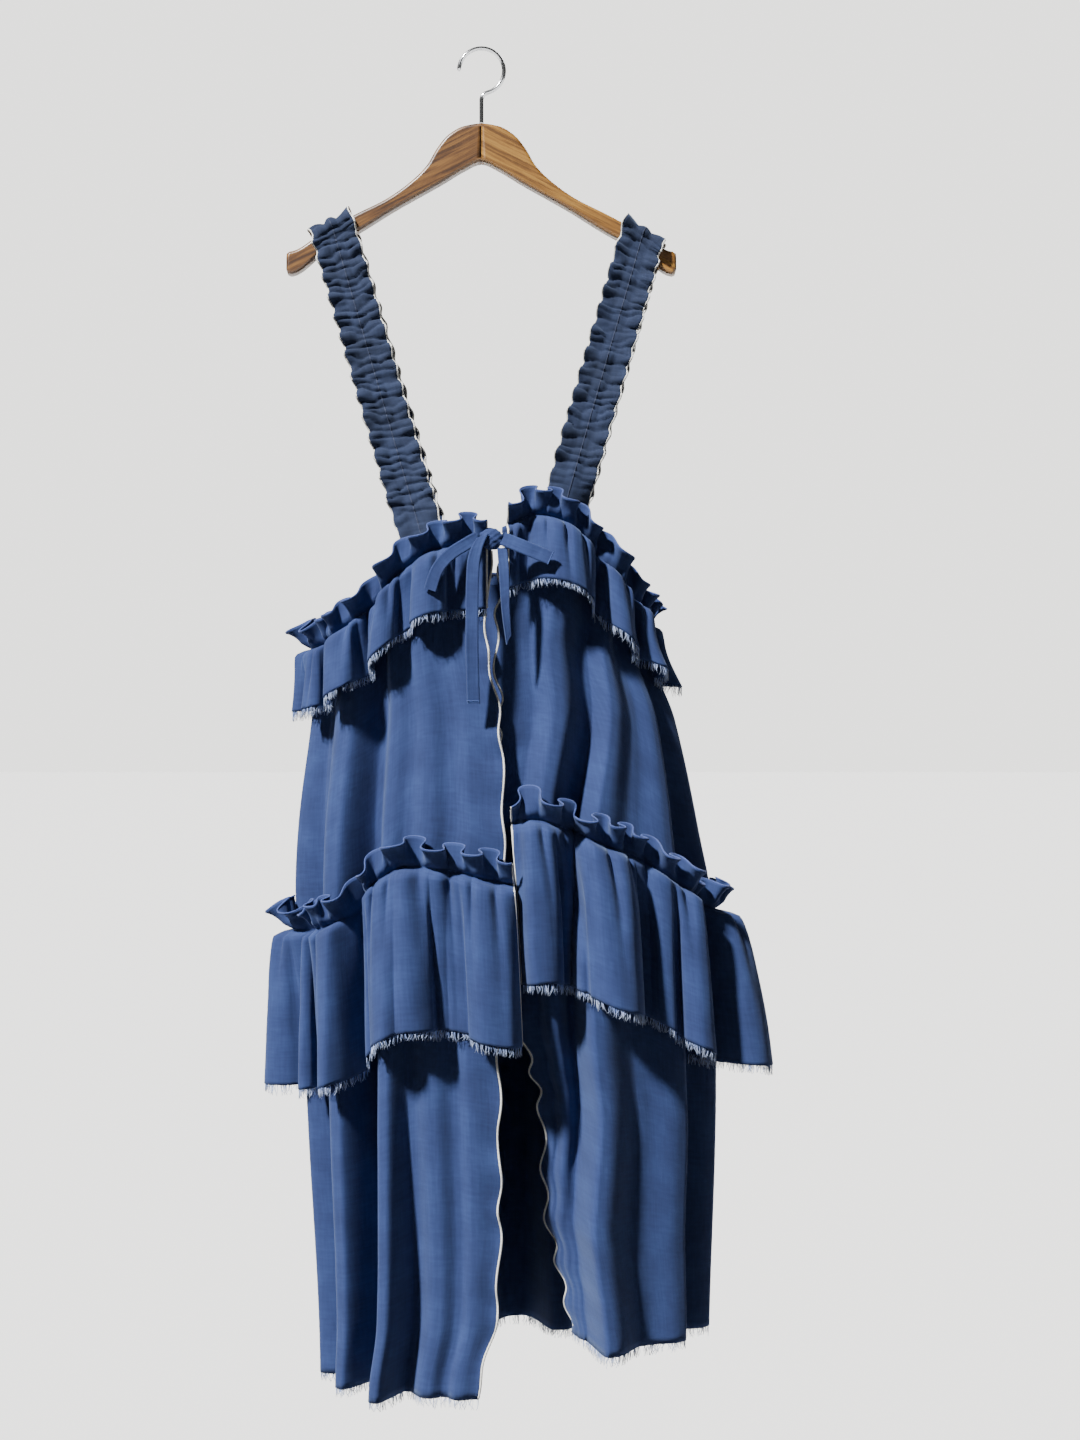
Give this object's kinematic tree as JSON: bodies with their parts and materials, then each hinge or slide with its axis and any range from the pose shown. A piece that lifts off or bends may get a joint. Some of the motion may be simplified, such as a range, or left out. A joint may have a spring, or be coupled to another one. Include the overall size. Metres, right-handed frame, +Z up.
{
  "type": "camisole dress on a wooden hanger",
  "caption": "Blue ruffled camisole dress with shirred straps, an open front, a waist tie and a middle flounce, hung on a wooden hanger.",
  "frame": {"origin": "where a rail bears inside the top of the hanger's hook", "axes": "+Z up along the hanging dress, +X towards the wearer's left, the front faces -Y"},
  "size_m": [0.5232, 0.2825, 1.3796],
  "materials": {
    "blue_cloth": "matte woven crepe twill",
    "frayed_threads": "loose frayed yarn",
    "wood": "satin oiled hardwood",
    "chrome": "polished chrome plate on steel wire"
  },
  "bodies": {
    "root": {"skirt_right_front": "blue_cloth", "skirt_back": "blue_cloth", "skirt_left_front": "blue_cloth", "skirt_fray_right_front": "frayed_threads", "skirt_fray_back": "frayed_threads", "skirt_fray_left_front": "frayed_threads", "frill_right_front": "blue_cloth", "frill_back": "blue_cloth", "frill_left_front": "blue_cloth", "frill_fray_right_front": "frayed_threads", "frill_fray_back": "frayed_threads", "frill_fray_left_front": "frayed_threads", "flounce_right_front": "blue_cloth", "flounce_back": "blue_cloth", "flounce_left_front": "blue_cloth", "flounce_fray_right_front": "frayed_threads", "flounce_fray_back": "frayed_threads", "flounce_fray_left_front": "frayed_threads", "strap_right": "blue_cloth", "strap_left": "blue_cloth", "tie_knot": "blue_cloth", "tie_loop": "blue_cloth", "tie_long_tail": "blue_cloth", "tie_short_end": "blue_cloth", "tie_twisted_tail": "blue_cloth", "hanger_right": "wood", "hanger_left": "wood", "hook": "chrome"}
  },
  "joints": []
}
